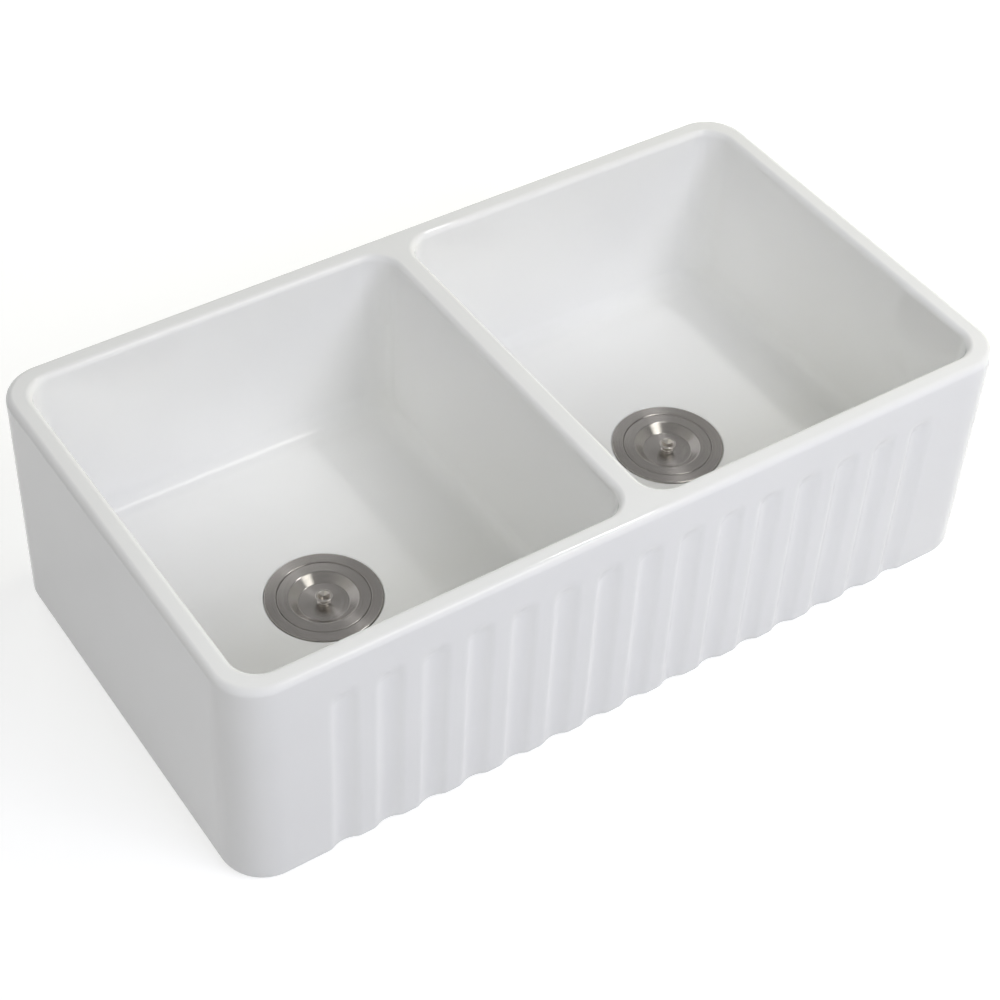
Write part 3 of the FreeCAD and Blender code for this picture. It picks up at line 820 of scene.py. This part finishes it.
class SINK_OT_strainers(bpy.types.Operator):
    """Build the flange and cup of both strainers"""

    bl_idname = "sink.strainers"
    bl_label = "Strainers"
    bl_options = {"REGISTER", "UNDO"}

    def execute(self, context):
        scene = context.scene
        casting = scene.sink_casting
        drain = scene.sink_drain
        finishes = scene.sink_finish
        floor = (casting.height - casting.bowl_depth) / MM
        for label in SIDES:
            cad = label + "_strainer_body"
            path = rounded_profile(strainer_profile(drain, floor))
            grid = turned(path, node_centre_x(cad), drain.turn_steps)
            make_piece(label + "_strainer", [grid], steel(finishes.steel), "sink", cad)
        return {"FINISHED"}


class SINK_OT_lids(bpy.types.Operator):
    """Build both lids, their knobs and their seals"""

    bl_idname = "sink.lids"
    bl_label = "Lids"
    bl_options = {"REGISTER", "UNDO"}

    def execute(self, context):
        scene = context.scene
        drain = scene.sink_drain
        finishes = scene.sink_finish
        for label in SIDES:
            body = label + "_lid_unit"
            cad = label + "_lid"
            x = node_centre_x(cad)
            top = node_top(cad) / MM
            material = steel(finishes.steel)
            bright = polished(finishes.steel)
            lid = turned(rounded_profile(lid_profile(drain, top)), x, drain.turn_steps)
            make_piece(label + "_dished_lid", [lid], material, body, cad)
            knob = turned(rounded_profile(knob_profile(drain, top), closed=False), x, KNOB_STEPS)
            make_piece(label + "_knob", [knob], bright, body, label + "_lid_knob")
            seal = label + "_lid_seal"
            ring = turned(rounded_profile(ring_from_box(seal, 42.3, 0.4), 5), x, drain.turn_steps)
            make_piece(label + "_seal_ring", [ring], rubber(finishes.rubber), body, seal)
        return {"FINISHED"}


class SINK_OT_baskets(bpy.types.Operator):
    """Dress both baskets and their handles"""

    bl_idname = "sink.baskets"
    bl_label = "Baskets"
    bl_options = {"REGISTER", "UNDO"}

    def execute(self, context):
        finishes = context.scene.sink_finish
        material = finish("Basket steel", brushed_material, "Basket steel", finishes.steel, 0.3)
        for label in SIDES:
            body = label + "_basket_unit"
            smooth_copy(label + "_basket", label + "_slotted_basket", material, body)
            smooth_copy(label + "_basket_handle", label + "_bar_handle", material, body)
        return {"FINISHED"}


class SINK_OT_washers(bpy.types.Operator):
    """Build the gaskets and washers of both drains"""

    bl_idname = "sink.washers"
    bl_label = "Gaskets and Washers"
    bl_options = {"REGISTER", "UNDO"}

    def execute(self, context):
        finishes = context.scene.sink_finish
        black = rubber(finishes.rubber)
        tan = finish("Pressed fibre", cast_material, "Pressed fibre", finishes.fibre, 0.0, 0.8, 900.0, 0.0001)
        kinds = (
            ("flange_gasket", "flange_bed", 49.25, 0.3, black, "seal_rubber"),
            ("under_washer", "floor_washer", 43.8, 0.6, black, "seal_rubber"),
            ("friction_washer", "fibre_washer", 43.8, 0.2, tan, "washer_fibre"),
            ("tail_washer", "tail_seal", 19.7, 0.4, black, "seal_rubber"),
        )
        for label in SIDES:
            for cad_name, name, inner, rounding, material, slot in kinds:
                cad = label + "_" + cad_name
                path = rounded_profile(ring_from_box(cad, inner, rounding), 4)
                grid = turned(path, node_centre_x(cad), WASHER_STEPS)
                make_piece(label + "_" + name, [grid], material, "sink", cad)
        return {"FINISHED"}


class SINK_OT_nuts(bpy.types.Operator):
    """Dress the locknuts, slip nuts and tailpieces"""

    bl_idname = "sink.nuts"
    bl_label = "Nuts and Tailpieces"
    bl_options = {"REGISTER", "UNDO"}

    def execute(self, context):
        finishes = context.scene.sink_finish
        brass = finish("Cast brass", cast_material, "Cast brass", finishes.brass, 1.0, 0.38, 500.0, 0.00006)
        tube = "Chromed tube"
        chrome = finish(tube, cast_material, tube, finishes.chrome, 1.0, 0.12, 60.0, 0.00001)
        for label in SIDES:
            smooth_copy(label + "_locknut", label + "_lug_nut", brass, "sink")
            smooth_copy(label + "_slip_nut", label + "_ribbed_nut", chrome, "sink")
            smooth_copy(label + "_tailpiece", label + "_tail_tube", chrome, "sink")
        return {"FINISHED"}


# ---------------------------------------------------------------- stage

# Softboxes round the sink: name, azimuth from the front, elevation, width, height, power, colour, seen in gloss
LAMPS = (
    ("key", 30, 53, 0.95, 0.95, 8.5, (1.0, 0.998, 0.941), True),
    ("key soft", 30, 53, 1.2, 1.2, 6.0, (1.0, 0.998, 0.941), False),
    ("overhead", 97, 65, 1.1, 0.12, 6.5, (1.0, 1.0, 1.0), True),
    ("right", 92, 22, 1.5, 1.0, 26.6, (1.0, 0.984, 0.819), False),
    ("left", 300, 45, 1.5, 1.5, 16.5, (0.99, 1.0, 0.93), False),
    ("left low", 270, 18, 1.5, 1.0, 3.0, (0.815, 0.778, 1.0), False),
    ("front", 12, 35, 1.5, 1.0, 25.0, (0.852, 0.864, 1.0), False),
    ("back", 185, 24, 1.5, 1.0, 12.0, (0.97, 1.0, 0.985), False),
)


def floor_material(colour, lift):
    """Pale floor that shows nearly white to the camera and still takes a shadow."""
    material, tree, shader = blank_material("Pale floor")
    place = node(tree, "ShaderNodeTexCoord").outputs["Object"]
    shade = ramp(tree, noise(tree, place, 3.0), [(0.0, tint(colour, 0.995)), (1.0, colour)])
    tree.links.new(shade, shader.inputs["Base Color"])
    shader.inputs["Roughness"].default_value = 0.9
    shader.inputs["Specular IOR Level"].default_value = 0.1
    path = node(tree, "ShaderNodeLightPath")
    seen = node(tree, "ShaderNodeMath", operation="MAXIMUM")
    tree.links.new(path.outputs["Is Camera Ray"], seen.inputs[0])
    tree.links.new(path.outputs["Is Glossy Ray"], seen.inputs[1])
    glow = node(tree, "ShaderNodeMath", operation="MULTIPLY")
    tree.links.new(seen.outputs[0], glow.inputs[0])
    away = node(tree, "ShaderNodeVectorMath", operation="LENGTH")
    tree.links.new(place, away.inputs[0])
    haze = node(tree, "ShaderNodeMapRange", interpolation_type="SMOOTHSTEP")
    haze.inputs["From Min"].default_value = HAZE_START
    haze.inputs["From Max"].default_value = HAZE_END
    haze.inputs["To Min"].default_value = lift
    haze.inputs["To Max"].default_value = 1.0
    tree.links.new(away.outputs["Value"], haze.inputs["Value"])
    tree.links.new(haze.outputs["Result"], glow.inputs[1])
    shader.inputs["Emission Color"].default_value = (1.0, 1.0, 1.0, 1.0)
    tree.links.new(glow.outputs[0], shader.inputs["Emission Strength"])
    return material


def add_lamp(name, spot, target, width, height, power, colour, seen):
    lamp = bpy.data.lights.new(name, "AREA")
    lamp.shape = "RECTANGLE"
    lamp.size = width
    lamp.size_y = height
    lamp.energy = power
    lamp.color = colour
    holder = bpy.data.objects.new(name, lamp)
    bpy.context.scene.collection.objects.link(holder)
    holder.location = spot
    holder.rotation_euler = (Vector(target) - Vector(spot)).to_track_quat("-Z", "Y").to_euler()
    holder.visible_glossy = seen


def add_floor(studio, casting):
    """Square floor at the foot's level, with an opening inside the foot ring where the drains go through."""
    outer = studio.floor_size / 2
    hole = np.array([casting.length / 2 - casting.foot_width, casting.depth / 2 - casting.foot_width])
    corners = np.array([[-1, -1], [1, -1], [1, 1], [-1, 1]], dtype=float)
    grid = np.zeros((2, 4, 3))
    grid[0, :, :2] = corners * hole
    grid[1, :, :2] = corners * outer
    grid[:, :, 2] = -FLOOR_DROP
    mesh = bpy.data.meshes.new("floor")
    mesh.from_pydata(grid.reshape(-1, 3).tolist(), [], strip_quads(2, 4, True)[:, ::-1].tolist())
    mesh.materials.append(floor_material(studio.floor_colour, studio.floor_lift))
    floor = bpy.data.objects.new("floor", mesh)
    bpy.context.scene.collection.objects.link(floor)


def add_sky(strength, ceiling):
    """Faint even light; the camera and gloss see white round about, and gloss a darker room overhead."""
    world = bpy.data.worlds.new("Studio")
    bpy.context.scene.world = world
    world.use_nodes = True
    tree = world.node_tree
    tree.nodes.clear()
    path = node(tree, "ShaderNodeLightPath")
    height = node(tree, "ShaderNodeSeparateXYZ")
    tree.links.new(node(tree, "ShaderNodeTexCoord").outputs["Generated"], height.inputs["Vector"])
    room = node(tree, "ShaderNodeMapRange", interpolation_type="SMOOTHSTEP")
    room.inputs["From Min"].default_value = HORIZON
    room.inputs["From Max"].default_value = OVERHEAD
    room.inputs["To Min"].default_value = 1.0
    room.inputs["To Max"].default_value = ceiling
    tree.links.new(height.outputs["Z"], room.inputs["Value"])
    gloss = node(tree, "ShaderNodeMix", data_type="FLOAT")
    gloss.inputs["A"].default_value = strength
    tree.links.new(path.outputs["Is Glossy Ray"], gloss.inputs["Factor"])
    tree.links.new(room.outputs["Result"], gloss.inputs["B"])
    level = node(tree, "ShaderNodeMix", data_type="FLOAT")
    level.inputs["B"].default_value = 1.0
    tree.links.new(path.outputs["Is Camera Ray"], level.inputs["Factor"])
    tree.links.new(gloss.outputs["Result"], level.inputs["A"])
    sky = node(tree, "ShaderNodeBackground")
    sky.inputs["Color"].default_value = (1.0, 1.0, 1.0, 1.0)
    tree.links.new(level.outputs["Result"], sky.inputs["Strength"])
    output = node(tree, "ShaderNodeOutputWorld")
    tree.links.new(sky.outputs[0], output.inputs["Surface"])


def add_camera(studio, casting):
    """Camera on the line of sight given by azimuth, elevation, roll and distance.

    It is slid sideways, without turning, to frame the sink as the settings say.
    """
    az, el, roll = studio.azimuth, studio.elevation, studio.roll
    away = Vector((math.sin(az) * math.cos(el), -math.cos(az) * math.cos(el), math.sin(el)))
    right = (-away).cross(Vector((0, 0, 1))).normalized()
    up = right.cross(-away)
    right, up = right * math.cos(roll) + up * math.sin(roll), up * math.cos(roll) - right * math.sin(roll)
    slide = studio.distance / studio.focal
    spot = Vector((0, 0, casting.height / 2)) + away * studio.distance
    spot += up * (studio.aim_down * slide) - right * (studio.aim_right * slide)
    data = bpy.data.cameras.new("camera")
    data.sensor_width = SENSOR
    data.lens = SENSOR * studio.focal
    data.clip_end = FAR
    camera = bpy.data.objects.new("camera", data)
    bpy.context.scene.collection.objects.link(camera)
    camera.matrix_world = Matrix.Translation(spot) @ Matrix((right, up, away)).transposed().to_4x4()
    bpy.context.scene.camera = camera


class SINK_OT_stage(bpy.types.Operator):
    """Lay the floor, hang the lamps and set the camera"""

    bl_idname = "sink.stage"
    bl_label = "Stage"
    bl_options = {"REGISTER", "UNDO"}

    def execute(self, context):
        scene = context.scene
        casting = scene.sink_casting
        studio = scene.sink_studio
        add_floor(studio, casting)
        add_sky(studio.sky, studio.ceiling)
        middle = Vector((0, 0, casting.height / 2))
        for name, azimuth, elevation, width, height, power, colour, seen in LAMPS:
            az, el = math.radians(azimuth), math.radians(elevation)
            away = Vector((math.sin(az) * math.cos(el), -math.cos(az) * math.cos(el), math.sin(el)))
            spot = middle + away * studio.lamp_distance
            add_lamp(name, spot, middle, width, height, power * studio.lamps, colour, seen)
        add_camera(studio, casting)
        scene.view_settings.view_transform = "Standard"
        return {"FINISHED"}


class SINK_PT_panel(bpy.types.Panel):
    """Sidebar panel with the sink's settings and operators"""

    bl_idname = "SINK_PT_panel"
    bl_label = "Farmhouse Sink"
    bl_space_type = "VIEW_3D"
    bl_region_type = "UI"
    bl_category = "Sink"

    def draw(self, context):
        layout = self.layout
        scene = context.scene
        for title, group in SETTINGS:
            box = layout.box()
            box.label(text=title)
            values = getattr(scene, group)
            for key in values.__annotations__:
                box.prop(values, key)
        for operator in OPERATORS:
            layout.operator(operator.bl_idname)


SETTINGS = (
    ("Casting", "sink_casting"),
    ("Flutes", "sink_flutes"),
    ("Drains", "sink_drain"),
    ("Finishes", "sink_finish"),
    ("Studio", "sink_studio"),
)
GROUPS = (SINK_PG_casting, SINK_PG_flutes, SINK_PG_drain, SINK_PG_finish, SINK_PG_studio)
OPERATORS = (
    SINK_OT_casting,
    SINK_OT_strainers,
    SINK_OT_lids,
    SINK_OT_baskets,
    SINK_OT_washers,
    SINK_OT_nuts,
    SINK_OT_stage,
)


def register():
    for group, (title, name) in zip(GROUPS, SETTINGS):
        bpy.utils.register_class(group)
        setattr(bpy.types.Scene, name, PointerProperty(type=group))
    for operator in OPERATORS:
        bpy.utils.register_class(operator)
    bpy.utils.register_class(SINK_PT_panel)


def unregister():
    bpy.utils.unregister_class(SINK_PT_panel)
    for operator in reversed(OPERATORS):
        bpy.utils.unregister_class(operator)
    for group, (title, name) in zip(GROUPS, SETTINGS):
        delattr(bpy.types.Scene, name)
        bpy.utils.unregister_class(group)


def main():
    register()
    bpy.ops.sink.casting()
    bpy.ops.sink.strainers()
    bpy.ops.sink.lids()
    bpy.ops.sink.baskets()
    bpy.ops.sink.washers()
    bpy.ops.sink.nuts()
    bpy.ops.sink.stage()


if __name__ == "__main__":
    main()
